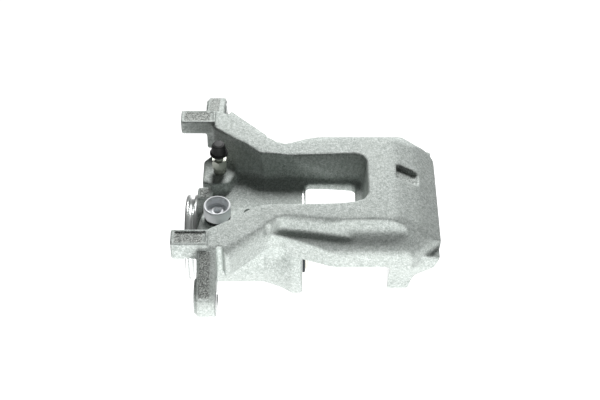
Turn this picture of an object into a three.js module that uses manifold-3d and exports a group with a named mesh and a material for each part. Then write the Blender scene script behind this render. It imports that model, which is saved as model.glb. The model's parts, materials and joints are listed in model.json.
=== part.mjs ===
// A floating brake caliper for a rear axle with an electric parking brake.
// Lengths are millimetres. X runs along the piston, outboard positive, from the
// open face of the barrel. Y runs across the caliper. Z is up, away from the wheel's axle.

import * as THREE from "three";
import { mergeVertices } from "three/addons/utils/BufferGeometryUtils.js";
import Module from "manifold-3d";

const wasm = await Module();
wasm.setup();

// ---------------------------------------------------------------- driving dimensions

const PISTON_RADIUS = 19;
const PISTON_LENGTH = 48;
const PISTON_NOSE = 3.3; // how far the retracted piston stands out of the barrel
const BARREL_LENGTH = 68.5;
const BARREL_WALL = 6.3;
const MOUTH_FLANGE_RADIUS = 33;
const MOUTH_FLANGE_THICKNESS = 8;
const DISC_GAP = 49; // barrel face to finger face: disc, both pads and wear travel
const DISC_CLEARANCE_RADIUS = 145;
const WHEEL_AXIS_DROP = 115.5; // piston axis above the wheel's axis
const DECK_TOP = 50;
const RAIL_HALF_GAP = 20.4;
const RIB_HALF_SPACING = 33.6; // outer edge of each rail's flat top
const BRIDGE_HALF_WIDTH = 48.3;
const BRIDGE_EDGE_TOP = 36;
const BRIDGE_EDGE_BOTTOM = 26;
const OUTBOARD_LEG = 29.5; // finger face to the outboard end
const PIN_HALF_SPACING = 73.7;
const PIN_HEIGHT = 31.3;
const PIN_FACE = -46.3; // outboard face of the guide-pin pads
const PIN_PAD_LENGTH = 12.4;
const PIN_PAD_RADIUS = 9.6;
const PIN_LUG_RADIUS = 11.1;
const PIN_HOLE_RADIUS = 4.65;
const LUG_WEB_WIDTH = 10;
const ARM_BOTTOM = 30;
const ARM_END = -54; // inboard end of the arms
const BLOCK_END = -72.2;
const BLOCK_INNER = 43.6;
const BLOCK_WIDTH = 11.6;
const BLOCK_TOP = 53;
const BLOCK_BOTTOM = 39;
const FINGER_INNER = 20.5;
const FINGER_OUTER = 36;
const FINGER_BOTTOM = -8;
const FINGER_TIP_THICKNESS = 11.5;
const WINDOW_INBOARD = 1.8;
const WINDOW_LENGTH = 28.7;
const WINDOW_HALF_WIDTH = 10.9;
const END_BEVEL = { length: 17.7, width: 15.5 }; // of the outboard end's corners, in plan
const DIMPLE_LENGTH = 13.6;
const DIMPLE_DEPTH = 3;
const DIMPLE_WIDTH = 12.6;
const DIMPLE_TILT = 3; // degrees its floor leans against the surface round it
const SLOPE_ANGLE = 23; // degrees the outboard end falls where the pocket is
const THRUST_ROOM = 7.3; // behind the piston, for the spindle's flange and bearing
const SPINDLE_WALL = 9; // between the bore and the actuator's pocket
const SPINDLE_RADIUS = 4.7;
const SPINDLE_THREAD_RADIUS = 5;
const SPINDLE_FLANGE_RADIUS = 12;
const ACTUATOR_POCKET_RADIUS = 12;
const SEAL_GROOVE = { start: -10.6, end: -7.2, depth: 2.4 };
const O_RING_GROOVE = { start: 3.4, end: 6, depth: 2.4 }; // from the actuator's pocket
const BOOT_SEAT = { depth: 5, step: 3.6 };
const ACTUATOR_SCREW = { x: -60.6, length: 8.6, height: 30.6, radius: 2.6, halfWidth: 5.3 };
const BLEEDER = { x: -48.6, y: 20.6, flats: 8 };
const PORT = { x: -48.2, y: -18.6, radius: 7.7 };
const LOCK_HOLE = { x: -30.6, y: -14.4, radius: 2.8 };

// ---------------------------------------------------------------- clearances and derived sizes

const GAP = 0.3; // running clearance of fitted pieces
const SEAT_GAP = 0.05; // between faces that are clamped together
const WALL_MARGIN = 2; // how far a cutter runs past the face it opens

const barrelRadius = PISTON_RADIUS + GAP + BARREL_WALL;
const boreRadius = PISTON_RADIUS + GAP;
const boreEnd = -(PISTON_LENGTH - PISTON_NOSE) - THRUST_ROOM;
const pocketFloor = boreEnd - SPINDLE_WALL;
const pinInboardFace = PIN_FACE - PIN_PAD_LENGTH;
const lugWebOutboard = PIN_FACE - 1;
const bossTop = BRIDGE_EDGE_TOP;
const outboardEnd = DISC_GAP + OUTBOARD_LEG;

// ---------------------------------------------------------------- helpers

/** The manifold solid of a three.js geometry: positions merged, slivers dropped, faces outward. */
function solid(geometry) {
  const bare = new THREE.BufferGeometry();
  const loose = geometry.index ? geometry.toNonIndexed() : geometry;
  bare.setAttribute("position", loose.getAttribute("position"));
  const merged = mergeVertices(bare, 1e-4);
  const at = merged.getAttribute("position").array;
  const corners = merged.index.array;
  const kept = [];
  let volume = 0;
  for (let i = 0; i < corners.length; i += 3) {
    const [a, b, c] = [corners[i], corners[i + 1], corners[i + 2]];
    if (a === b || b === c || c === a) continue;
    kept.push([a, b, c]);
    const [p, q, r] = [a, b, c].map((n) => new THREE.Vector3().fromArray(at, 3 * n));
    volume += p.dot(q.cross(r));
  }
  const facing = volume > 0 ? kept : kept.map(([a, b, c]) => [a, c, b]);
  return new wasm.Manifold(
    new wasm.Mesh({
      numProp: 3,
      vertProperties: new Float32Array(at),
      triVerts: new Uint32Array(facing.flat()),
    }),
  );
}

/** Outline points with each corner [u, v, radius] rounded by a few chords. */
function rounded(corners, steps = 4) {
  const points = [];
  corners.forEach(([u, v, radius = 0], i) => {
    const here = new THREE.Vector2(u, v);
    const before = new THREE.Vector2(...corners.at(i - 1).slice(0, 2)).sub(here);
    const after = new THREE.Vector2(...corners[(i + 1) % corners.length].slice(0, 2)).sub(here);
    if (radius === 0) {
      points.push(here);
      return;
    }
    const half = before.angleTo(after) / 2;
    const back = radius / Math.tan(half);
    const start = here.clone().add(before.setLength(back));
    const end = here.clone().add(after.setLength(back));
    const centre = here.clone().add(before.add(after).setLength(radius / Math.sin(half)));
    let from = Math.atan2(start.y - centre.y, start.x - centre.x);
    let to = Math.atan2(end.y - centre.y, end.x - centre.x);
    if (to - from > Math.PI) to -= 2 * Math.PI;
    if (from - to > Math.PI) from -= 2 * Math.PI;
    for (let k = 0; k <= steps; k += 1) {
      const angle = from + ((to - from) * k) / steps;
      const spoke = new THREE.Vector2(radius * Math.cos(angle), radius * Math.sin(angle));
      points.push(spoke.add(centre));
    }
  });
  return points;
}

/** A prism from an outline, extruded by depth along w after (u, v, w) are laid on three axes. */
function prism(corners, depth, u, v, w, offset) {
  const geometry = new THREE.ExtrudeGeometry(new THREE.Shape(rounded(corners)), {
    depth,
    bevelEnabled: false,
    steps: 1,
  });
  geometry.applyMatrix4(new THREE.Matrix4().makeBasis(u, v, w).setPosition(offset));
  return solid(geometry);
}

const AXIS_X = new THREE.Vector3(1, 0, 0);
const AXIS_Y = new THREE.Vector3(0, 1, 0);
const AXIS_Z = new THREE.Vector3(0, 0, 1);

/** A prism of an XY outline between two heights. */
const upright = (corners, z0, z1) =>
  prism(corners, z1 - z0, AXIS_X, AXIS_Y, AXIS_Z, new THREE.Vector3(0, 0, z0));

/** A prism of an XZ outline between two Y values. */
const across = (corners, y0, y1) =>
  prism(corners, y1 - y0, AXIS_X, AXIS_Z, AXIS_Y.clone().negate(), new THREE.Vector3(0, y1, 0));

/** A prism of a YZ outline between two X values. */
const lengthwise = (corners, x0, x1) =>
  prism(corners, x1 - x0, AXIS_Y, AXIS_Z, AXIS_X, new THREE.Vector3(x0, 0, 0));

/** A box by its lowest and highest corners. */
const box = ([x0, y0, z0], [x1, y1, z1]) =>
  upright([[x0, y0], [x1, y0], [x1, y1], [x0, y1]], z0, z1);

/** A solid of revolution about X from [x, radius] points. */
function turned(profile, segments = 40) {
  const points = profile.map(([x, radius]) => new THREE.Vector2(radius, x));
  const geometry = new THREE.LatheGeometry(points, segments);
  geometry.rotateZ(-Math.PI / 2);
  return solid(geometry);
}

/** A solid of revolution about a vertical axis from [z, radius] points. */
function turnedUp(profile, x, y, segments = 32) {
  const points = profile.map(([z, radius]) => new THREE.Vector2(radius, z));
  const geometry = new THREE.LatheGeometry(points, segments);
  geometry.rotateX(Math.PI / 2);
  geometry.translate(x, y, 0);
  return solid(geometry);
}

/** A plain rod along X at a given Y and Z. */
const rod = (x0, x1, radius, y = 0, z = 0, segments = 28) =>
  turned([[x0, 0], [x0, radius], [x1, radius], [x1, 0]], segments).translate([0, y, z]);

/** A plain upright rod. */
const post = (x, y, z0, z1, radius, segments = 24) =>
  turnedUp([[z0, 0], [z0, radius], [z1, radius], [z1, 0]], x, y, segments);

/** A ring about X between two radii. */
const ring = (x0, x1, inner, outer, segments = 40) =>
  turned([[x0, inner], [x0, outer], [x1, outer], [x1, inner], [x0, inner]], segments);

/** A solid between two outlines of the same number of points at two heights. */
function loft(lowerOutline, z0, upperOutline, z1) {
  const plane = (points) => points.map(([x, y]) => new THREE.Vector2(x, y));
  const clockwise = THREE.ShapeUtils.isClockWise(plane(lowerOutline));
  const lower = plane(clockwise ? [...lowerOutline].reverse() : lowerOutline);
  const upper = plane(clockwise ? [...upperOutline].reverse() : upperOutline);
  const count = lower.length;
  const faces = [];
  for (let i = 0; i < count; i += 1) {
    const next = (i + 1) % count;
    faces.push([i, next, next + count], [i, next + count, i + count]);
  }
  const cap = (outline) =>
    THREE.ShapeUtils.triangulateShape(outline, []).map((face) =>
      THREE.ShapeUtils.isClockWise(face.map((n) => outline[n])) ? [...face].reverse() : face,
    );
  cap(lower).forEach(([a, b, c]) => faces.push([a, c, b]));
  cap(upper).forEach((face) => faces.push(face.map((n) => n + count)));
  const at = [...lower.map(({ x, y }) => [x, y, z0]), ...upper.map(({ x, y }) => [x, y, z1])];
  const geometry = new THREE.BufferGeometry();
  geometry.setAttribute("position", new THREE.Float32BufferAttribute(at.flat(), 3));
  geometry.setIndex(faces.flat());
  return solid(geometry);
}

/** A half outline (Y positive, inboard to outboard) closed by its mirror image. */
const mirrored = (half) => [...half, ...half.map(([x, y, r]) => [x, -y, r]).reverse()];

/** The same for a half outline whose first coordinate is the Y value. */
const mirroredAcross = (half) => [...half, ...half.map(([y, z, r]) => [-y, z, r]).reverse()];

/** A solid and its mirror image across the caliper's middle. */
const bothSides = (piece) => piece.add(piece.mirror([0, 1, 0]));

/** A cutter that follows an edge in plan: profile points are [outward distance, height]. */
function alongEdge([x0, y0], [x1, y1], profile) {
  const run = new THREE.Vector3(x1 - x0, y1 - y0, 0);
  const length = run.length();
  const forward = run.normalize();
  const outward = new THREE.Vector3().crossVectors(forward, AXIS_Z);
  return prism(profile, length, outward, AXIS_Z, forward.clone(), new THREE.Vector3(x0, y0, 0));
}

// ---------------------------------------------------------------- the casting

/** The bridge and arms seen from above, before anything is cut out. */
function deckPlan() {
  const notch = [-17.4, BRIDGE_HALF_WIDTH - 12.6, 8];
  const armCorner = [-42.6, PIN_HALF_SPACING - 12.9, 2];
  const slotInner = PIN_HALF_SPACING - 19.4;
  return mirrored([
    [lugWebOutboard - LUG_WEB_WIDTH + 4.6, BLOCK_INNER + BLOCK_WIDTH],
    [lugWebOutboard, BLOCK_INNER + BLOCK_WIDTH],
    [lugWebOutboard + 0.6, slotInner, 1.2],
    [armCorner[0] - 0.9, slotInner, 1.2],
    armCorner,
    notch,
    [-4, BRIDGE_HALF_WIDTH - 7.4, 12],
    [16.6, BRIDGE_HALF_WIDTH, 20],
    [outboardEnd - END_BEVEL.length, BRIDGE_HALF_WIDTH, 3],
    [outboardEnd - 0.2, BRIDGE_HALF_WIDTH - END_BEVEL.width, 3],
  ]);
}

/** The bridge and arms seen from the side. */
function deckSide() {
  return [
    [ARM_END, ARM_BOTTOM],
    [ARM_END, DECK_TOP + 1.2],
    [-25, DECK_TOP - 1, 30],
    [38, DECK_TOP + 0.9, 30],
    [53, DECK_TOP, 14],
    [66.5, DECK_TOP - 6, 16],
    [outboardEnd, BRIDGE_EDGE_TOP - 4, 5],
    [outboardEnd - 1, BRIDGE_EDGE_BOTTOM - 2],
    [-6, BRIDGE_EDGE_BOTTOM - 2],
    [-10, ARM_BOTTOM],
  ];
}

/** The bridge and arms before the recess is opened. */
function deck() {
  const block = upright(deckPlan(), 0, DECK_TOP + 10).intersect(across(deckSide(), -90, 90));
  const arch = rod(-12, DISC_GAP, DISC_CLEARANCE_RADIUS, 0, -WHEEL_AXIS_DROP, 160);
  const skirt = box([-12, -60, 0], [DISC_GAP, 60, BRIDGE_EDGE_BOTTOM]);
  return block.subtract(arch).subtract(skirt);
}

/** The stepped shelf outside one rail: down from the rib, through a valley, out to the edge. */
function railShelf() {
  const rib = RIB_HALF_SPACING;
  const edge = BRIDGE_HALF_WIDTH;
  const profile = [
    [rib, DECK_TOP + 8],
    [rib, DECK_TOP + 0.5],
    [rib + 0.9, DECK_TOP - 1.4],
    [rib + 2.2, DECK_TOP - 5],
    [rib + 3.6, DECK_TOP - 7],
    [rib + 6.4, DECK_TOP - 8.2],
    [edge - 3.6, BRIDGE_EDGE_TOP + 4.2],
    [edge - 1.2, BRIDGE_EDGE_TOP + 2.2],
    [edge + 0.3, BRIDGE_EDGE_TOP - 1],
    [edge + 9, BRIDGE_EDGE_TOP - 3],
    [edge + 9, DECK_TOP + 8],
  ];
  const full = lengthwise(profile, -22, 62);
  const span = upright(
    [[-21, 35.5, 2], [-24, 60], [63, 60], [60, 38.5, 6], [53, rib - 1, 5], [-12, rib - 1, 7]],
    20,
    70,
  );
  return full.intersect(span);
}

/** The fall of the outboard end's top toward one side and round its bevelled plan edge. */
function outboardEdge() {
  const fall = [
    [21, DECK_TOP + 1.4],
    [14, DECK_TOP - 2.4],
    [8, DECK_TOP - 6.2],
    [3, DECK_TOP - 10.6],
    [0.6, BRIDGE_EDGE_TOP],
    [-0.4, BRIDGE_EDGE_TOP - 4],
    [-12, BRIDGE_EDGE_TOP - 4],
    [-12, DECK_TOP + 12],
    [21, DECK_TOP + 12],
  ];
  const profile = fall.map(([inward, z]) => [-inward, z]);
  const edge = BRIDGE_HALF_WIDTH;
  const { length, width } = END_BEVEL;
  const past = 0.5; // share of the bevel by which the cutter runs on at each end
  const bevel = alongEdge(
    [outboardEnd + past * length, edge - (1 + past) * width],
    [outboardEnd - (1 + past) * length, edge + past * width],
    profile,
  );
  const side = alongEdge([outboardEnd + 8, edge], [58.5, edge], profile);
  return bevel.add(side);
}

/** The rounded top edges of one side: along the arm's outboard face, then along the rail as it widens. */
function topEdges() {
  const armEnd = [-47, PIN_HALF_SPACING - 8.6];
  const corner = [-12.8, RIB_HALF_SPACING - 2.3];
  const railEnd = [28, RIB_HALF_SPACING + 4.3];
  const profile = [
    [4.4, DECK_TOP + 3],
    [4.4, DECK_TOP + 0.6],
    [2.2, DECK_TOP - 0.9],
    [0.9, DECK_TOP - 2.6],
    [0.1, DECK_TOP - 5.6],
    [-0.5, DECK_TOP - 9],
    [-12, DECK_TOP - 9],
    [-12, DECK_TOP + 3],
  ];
  const cutter = profile.map(([inward, z]) => [-inward, z]);
  return alongEdge(corner, armEnd, cutter).add(alongEdge(railEnd, corner, cutter));
}

/** The space between the rails and arms, down to the floor over the barrel. */
function recess() {
  const top = mirrored([
    [-90, BLOCK_INNER - 0.2],
    [-53.4, BLOCK_INNER - 0.2],
    [-49.6, RAIL_HALF_GAP + 20.3],
    [-37.5, RAIL_HALF_GAP + 12.2],
    [-25, RAIL_HALF_GAP + 1.5],
    [-17, RAIL_HALF_GAP],
    [30, RAIL_HALF_GAP],
    [35, RAIL_HALF_GAP - 1.6],
    [37.6, RAIL_HALF_GAP - 6.4],
  ]);
  const floor = mirrored([
    [-90, BLOCK_INNER - 9],
    [-53.4, BLOCK_INNER - 9],
    [-46, RAIL_HALF_GAP + 9.5],
    [-35, RAIL_HALF_GAP + 3],
    [-22, RAIL_HALF_GAP - 2],
    [-10, RAIL_HALF_GAP - 1.5],
    [28, RAIL_HALF_GAP - 8],
    [33, RAIL_HALF_GAP - 9.4],
    [34.6, RAIL_HALF_GAP - 12.5],
  ]);
  const sloped = loft(floor, BRIDGE_EDGE_TOP - 3, top, DECK_TOP + 3);
  return sloped.add(upright(floor, 0, BRIDGE_EDGE_TOP - 3 + SEAT_GAP));
}

/** The web that is the recess floor, over the barrel and over the disc. */
function floorWeb() {
  const side = across([
    [ARM_END, 12],
    [ARM_END, ARM_BOTTOM - 2],
    [-34, BRIDGE_EDGE_TOP - 4.5],
    [40, BRIDGE_EDGE_TOP + 0.2],
    [44, BRIDGE_EDGE_TOP],
    [44, 12],
  ], -60, 60);
  const plan = upright(mirrored([[ARM_END, 31], [-44, 33], [-22, 27], [44, 27]]), 0, 60);
  const arch = rod(0, 60, DISC_CLEARANCE_RADIUS, 0, -WHEEL_AXIS_DROP, 160);
  return side.intersect(plan).subtract(arch);
}

/** One guide-pin lug: a sloping web out of the arm with a round pad on each side. */
function pinLug() {
  const tilt = THREE.MathUtils.degToRad(21.6);
  const tipPoints = [];
  for (let k = 0; k <= 10; k += 1) {
    const angle = Math.PI / 2 - tilt - (k / 10) * THREE.MathUtils.degToRad(175);
    tipPoints.push([
      PIN_HALF_SPACING + PIN_LUG_RADIUS * Math.cos(angle),
      PIN_HEIGHT + PIN_LUG_RADIUS * Math.sin(angle),
    ]);
  }
  const web = lengthwise(
    [
      [BLOCK_INNER + 2, ARM_BOTTOM],
      [BLOCK_INNER + 2, DECK_TOP + 1],
      [BLOCK_INNER + BLOCK_WIDTH, DECK_TOP + 0.4],
      ...tipPoints,
      [PIN_HALF_SPACING - 15, ARM_BOTTOM - 5],
    ],
    lugWebOutboard - LUG_WEB_WIDTH,
    lugWebOutboard,
  );
  return web.add(rod(pinInboardFace, PIN_FACE, PIN_PAD_RADIUS, PIN_HALF_SPACING, PIN_HEIGHT, 40));
}

/** One rectangular lug that stands inboard from the arm. */
function block() {
  const outline = [
    [BLOCK_INNER, BLOCK_BOTTOM + 4.6, 1.5],
    [BLOCK_INNER + BLOCK_WIDTH, BLOCK_BOTTOM, 2],
    [BLOCK_INNER + BLOCK_WIDTH, BLOCK_TOP - 0.4, 1],
    [BLOCK_INNER, BLOCK_TOP, 1],
  ];
  const bar = lengthwise(outline, BLOCK_END, ARM_END + 2.2);
  const plan = upright([
    [BLOCK_END, BLOCK_INNER - 1, 3],
    [ARM_END + 5, BLOCK_INNER - 1],
    [ARM_END + 5, BLOCK_INNER + BLOCK_WIDTH + 1],
    [BLOCK_END, BLOCK_INNER + BLOCK_WIDTH + 1, 3],
  ], 0, 70);
  const panel = box(
    [BLOCK_END + 1.8, BLOCK_INNER + 1.7, BLOCK_TOP - 0.9],
    [ARM_END + 1.2, BLOCK_INNER + BLOCK_WIDTH - 1.4, BLOCK_TOP + 5],
  );
  return bar.intersect(plan).subtract(panel);
}

/** The barrel with its grooved actuator spigot and mouth flange, still solid. */
function barrel() {
  const end = -BARREL_LENGTH;
  return turned([
    [end, 0],
    [end, barrelRadius - 0.8],
    [end + 0.8, barrelRadius],
    [end + 2.1, barrelRadius],
    [end + 2.1, barrelRadius - 2.4],
    [end + 5, barrelRadius - 2.4],
    [end + 5, barrelRadius],
    [pocketFloor + 1, barrelRadius],
    [pocketFloor + 2, barrelRadius + 0.6],
    [-21.5, barrelRadius + 0.6],
    [-20.6, barrelRadius + 1.5],
    [-18, barrelRadius + 2],
    [-12, barrelRadius + 4.3],
    [-MOUTH_FLANGE_THICKNESS, MOUTH_FLANGE_RADIUS - 1],
    [-MOUTH_FLANGE_THICKNESS + 1.5, MOUTH_FLANGE_RADIUS],
    [-1, MOUTH_FLANGE_RADIUS],
    [0, MOUTH_FLANGE_RADIUS - 1],
    [0, 0],
  ], 64);
}

/** The outboard leg: two fingers with the boring-bar gap between them. */
function fingers() {
  const legBottom = FINGER_BOTTOM;
  const front = lengthwise(mirroredAcross([
    [BRIDGE_HALF_WIDTH - 5, ARM_BOTTOM],
    [BRIDGE_HALF_WIDTH - 4, 22, 4],
    [FINGER_OUTER + 1, 8, 8],
    [FINGER_OUTER, legBottom, 6],
    [FINGER_INNER, legBottom, 3],
    [FINGER_INNER, 0],
    [FINGER_INNER * 0.94, 7],
    [FINGER_INNER * 0.74, 13.6],
    [FINGER_INNER * 0.42, 18],
  ]), DISC_GAP, outboardEnd + 5);
  const side = across([
    [DISC_GAP, ARM_BOTTOM],
    [DISC_GAP, legBottom],
    [DISC_GAP + FINGER_TIP_THICKNESS, legBottom, 3],
    [DISC_GAP + FINGER_TIP_THICKNESS + 2.5, 4, 14],
    [outboardEnd - 2.5, 25, 8],
    [outboardEnd - 1, ARM_BOTTOM],
  ], -60, 60);
  return front.intersect(side);
}

/** Flat-topped bosses on the barrel: bleeder, hose port, locating hole and actuator screws. */
function bosses() {
  const bleeder = upright([
    [-58.4, 11, 2],
    [-53, 8.6, 3],
    [-43, 9.6, 4],
    [-38.5, 19, 5],
    [-41, 32, 3],
    [-54, 34],
    [-58.4, 29, 2],
  ], 8, bossTop - 0.4);
  const port = turnedUp([
    [12, 0],
    [12, 14.5],
    [24, 12.6],
    [bossTop - 0.6, PORT.radius + 1.9],
    [bossTop, PORT.radius + 1.4],
    [bossTop, 0],
  ], PORT.x, PORT.y, 40);
  const lockBack = LOCK_HOLE.y + LOCK_HOLE.radius + 1.6;
  const lock = upright([
    [LOCK_HOLE.x - 7, lockBack - 16],
    [LOCK_HOLE.x + 5.4, lockBack - 16],
    [LOCK_HOLE.x + 5.4, lockBack, 4],
    [LOCK_HOLE.x - 7, lockBack, 3],
  ], 18, bossTop);
  const { x, length, halfWidth } = ACTUATOR_SCREW;
  const screwSeat = upright([
    [x, -halfWidth, 1.5],
    [x + length, -halfWidth, 1.5],
    [x + length, halfWidth, 1.5],
    [x, halfWidth, 1.5],
  ], BARREL_WALL + PISTON_RADIUS - 5, bossTop + 1.6);
  return bleeder.add(port).add(lock).add(screwSeat).add(screwSeat.mirror([0, 0, 1]));
}

/** The cast pocket in the outboard slope, a little deeper along its far edge. */
function dimple() {
  const half = DIMPLE_LENGTH / 2;
  const mouth = upright([
    [-half, 0, 1],
    [half, 0, 1],
    [half, DIMPLE_WIDTH * 0.78, 2],
    [-half, DIMPLE_WIDTH, 1.5],
  ], 0, 12);
  return mouth.rotate([-DIMPLE_TILT, SLOPE_ANGLE, 0]).translate([
    DISC_GAP + 10.6,
    -0.6,
    DECK_TOP - 2.7 - DIMPLE_DEPTH,
  ]);
}

/** The machined bore, its grooves, and the opening for the spindle. */
function boreCut() {
  const open = WALL_MARGIN;
  return turned([
    [-BARREL_LENGTH - open, 0],
    [-BARREL_LENGTH - open, ACTUATOR_POCKET_RADIUS],
    [pocketFloor, ACTUATOR_POCKET_RADIUS],
    [pocketFloor, SPINDLE_RADIUS + GAP],
    [pocketFloor + O_RING_GROOVE.start, SPINDLE_RADIUS + GAP],
    [pocketFloor + O_RING_GROOVE.start, SPINDLE_RADIUS + O_RING_GROOVE.depth],
    [pocketFloor + O_RING_GROOVE.end, SPINDLE_RADIUS + O_RING_GROOVE.depth],
    [pocketFloor + O_RING_GROOVE.end, SPINDLE_RADIUS + GAP],
    [boreEnd, SPINDLE_RADIUS + GAP],
    [boreEnd, boreRadius],
    [SEAL_GROOVE.start, boreRadius],
    [SEAL_GROOVE.start, boreRadius + SEAL_GROOVE.depth],
    [SEAL_GROOVE.end, boreRadius + SEAL_GROOVE.depth],
    [SEAL_GROOVE.end, boreRadius],
    [-BOOT_SEAT.depth, boreRadius],
    [-BOOT_SEAT.depth, boreRadius + BOOT_SEAT.step],
    [open, boreRadius + BOOT_SEAT.step],
    [open, 0],
  ], 64);
}

/** Every drilled hole that isn't on the piston axis. */
function drilled() {
  const { x, length, height, radius } = ACTUATOR_SCREW;
  const screwHole = rod(x - WALL_MARGIN, x + length - 1, radius, 0, height, 20);
  const pinHole = [pinInboardFace - 1, PIN_FACE + 1, PIN_HOLE_RADIUS, PIN_HALF_SPACING, PIN_HEIGHT];
  let cut = bothSides(rod(...pinHole));
  cut = cut.add(post(BLEEDER.x, BLEEDER.y, 20, bossTop + 5, 3.6));
  cut = cut.add(post(BLEEDER.x, BLEEDER.y, 4, 22, 1.5, 12));
  cut = cut.add(post(PORT.x, PORT.y, 22, bossTop + 5, 5.1));
  cut = cut.add(post(PORT.x, PORT.y, 3, 24, 1.6, 12));
  cut = cut.add(post(LOCK_HOLE.x, LOCK_HOLE.y, 27, bossTop + 5, LOCK_HOLE.radius));
  return cut.add(screwHole).add(screwHole.mirror([0, 0, 1]));
}

/** The opening through the web over the disc. */
function windowCut() {
  const end = WINDOW_INBOARD + WINDOW_LENGTH;
  return upright([
    [WINDOW_INBOARD, -WINDOW_HALF_WIDTH, 2.5],
    [end, -WINDOW_HALF_WIDTH, 2.5],
    [end, WINDOW_HALF_WIDTH - 2, 2.5],
    [WINDOW_INBOARD + 16, WINDOW_HALF_WIDTH - 0.6, 12],
    [WINDOW_INBOARD, WINDOW_HALF_WIDTH, 2.5],
  ], 10, DECK_TOP + 5);
}

function caliperHousing() {
  let body = deck();
  body = body.subtract(bothSides(railShelf()));
  body = body.subtract(bothSides(topEdges()));
  body = body.subtract(bothSides(outboardEdge()));
  body = body.subtract(recess());
  body = body.add(bothSides(pinLug())).add(bothSides(block()));
  body = body.add(floorWeb()).add(barrel()).add(bosses()).add(fingers());
  return body.subtract(dimple()).subtract(windowCut()).subtract(boreCut()).subtract(drilled());
}

// ---------------------------------------------------------------- pieces in the bore

const cavityRadius = PISTON_RADIUS - 5;
const pistonInner = PISTON_NOSE - PISTON_LENGTH;
const KEY_WIDTH = 6;
const KEY_DEPTH = 2;
const NOSE_GROOVE = { back: 5.4, front: 2.4, depth: 1.6 }; // holds the boot's inner lip

function piston() {
  const nose = PISTON_NOSE;
  const shell = turned([
    [pistonInner, cavityRadius],
    [pistonInner, PISTON_RADIUS - 1],
    [pistonInner + 1, PISTON_RADIUS],
    [nose - NOSE_GROOVE.back, PISTON_RADIUS],
    [nose - NOSE_GROOVE.back, PISTON_RADIUS - NOSE_GROOVE.depth],
    [nose - NOSE_GROOVE.front, PISTON_RADIUS - NOSE_GROOVE.depth],
    [nose - NOSE_GROOVE.front, PISTON_RADIUS - 0.5],
    [nose - 0.5, PISTON_RADIUS - 0.5],
    [nose, PISTON_RADIUS - 1],
    [nose, PISTON_RADIUS - 5.5],
    [nose - 3, PISTON_RADIUS - 6.5],
    [nose - 3, 0],
    [nose - 9, 0],
    [nose - 9, cavityRadius],
    [pistonInner, cavityRadius],
  ], 48);
  const keyway = box(
    [pistonInner - 1, -cavityRadius - KEY_DEPTH, -KEY_WIDTH / 2],
    [nose - 12, cavityRadius + KEY_DEPTH, KEY_WIDTH / 2],
  );
  return shell.subtract(keyway);
}

const pistonSeal = () =>
  ring(
    SEAL_GROOVE.start + GAP,
    SEAL_GROOVE.end - GAP,
    boreRadius,
    boreRadius + SEAL_GROOVE.depth - GAP,
  );

function dustBoot() {
  const lip = PISTON_NOSE - NOSE_GROOVE.back + GAP;
  const inner = PISTON_RADIUS - NOSE_GROOVE.depth + GAP;
  const r = PISTON_RADIUS;
  const foot = -BOOT_SEAT.depth + GAP;
  return turned([
    [foot, r + 0.6],
    [foot, r + BOOT_SEAT.step],
    [foot + 1.2, r + BOOT_SEAT.step],
    [foot + 1.2, r + 1.7],
    [0.9, r + 1.7],
    [1.5, r + 1.3],
    [1.7, r + 0.5],
    [PISTON_NOSE - NOSE_GROOVE.front - 0.4, inner + 1.3],
    [PISTON_NOSE - NOSE_GROOVE.front - 0.4, inner],
    [lip, inner],
    [lip, inner + 1],
    [lip + 1.2, r + 0.6],
    [foot, r + 0.6],
  ], 44);
}

const bootRing = () => ring(-3.2, -1.8, PISTON_RADIUS + 2, boreRadius + 3.3);

const shoulder = boreEnd + 5.2; // inboard face of the spindle's flange

function spindle() {
  const out = pocketFloor - 6.2;
  const driveLength = 3;
  const tip = PISTON_NOSE - 16.8;
  const shaft = turned([
    [out + driveLength, 0],
    [out + driveLength, SPINDLE_RADIUS],
    [pocketFloor - 1.9, SPINDLE_RADIUS],
    [pocketFloor - 1.9, SPINDLE_RADIUS - 0.7],
    [pocketFloor - 0.5, SPINDLE_RADIUS - 0.7],
    [pocketFloor - 0.5, SPINDLE_RADIUS],
    [shoulder, SPINDLE_RADIUS],
    [shoulder, SPINDLE_FLANGE_RADIUS],
    [shoulder + 2.6, SPINDLE_FLANGE_RADIUS],
    [shoulder + 3, SPINDLE_THREAD_RADIUS],
    [tip - 1, SPINDLE_THREAD_RADIUS],
    [tip, SPINDLE_THREAD_RADIUS - 0.8],
    [tip, 0],
  ], 24);
  const drive = [];
  for (let k = 0; k < 12; k += 1) {
    const angle = (k / 12) * 2 * Math.PI;
    const radius = k % 2 ? 3.2 : 4.1;
    drive.push([radius * Math.cos(angle), radius * Math.sin(angle)]);
  }
  return shaft.add(lengthwise(drive, out, out + driveLength + 0.5));
}

function spindleNut() {
  const start = shoulder + 4.2;
  const flangeRadius = cavityRadius - 0.5;
  const bore = SPINDLE_THREAD_RADIUS + GAP;
  const body = turned([
    [start, bore],
    [start, flangeRadius],
    [start + 4, flangeRadius],
    [start + 5, 9],
    [start + 19, 9],
    [start + 20, 8],
    [start + 20, bore],
    [start, bore],
  ], 40);
  const half = KEY_WIDTH / 2 - GAP;
  const reach = cavityRadius + KEY_DEPTH - 0.4;
  const keys = box([start, -reach, -half], [start + 4, reach, half]);
  return body.add(keys.subtract(rod(start - 1, start + 6, 8)));
}

const spindleCirclip = () => {
  const inner = SPINDLE_RADIUS - 0.4;
  const whole = ring(pocketFloor - 1.6, pocketFloor - 0.6, inner, inner + 3, 24);
  return whole.subtract(box([pocketFloor - 3, -1.5, 0], [pocketFloor, 1.5, 12]));
};

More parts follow.
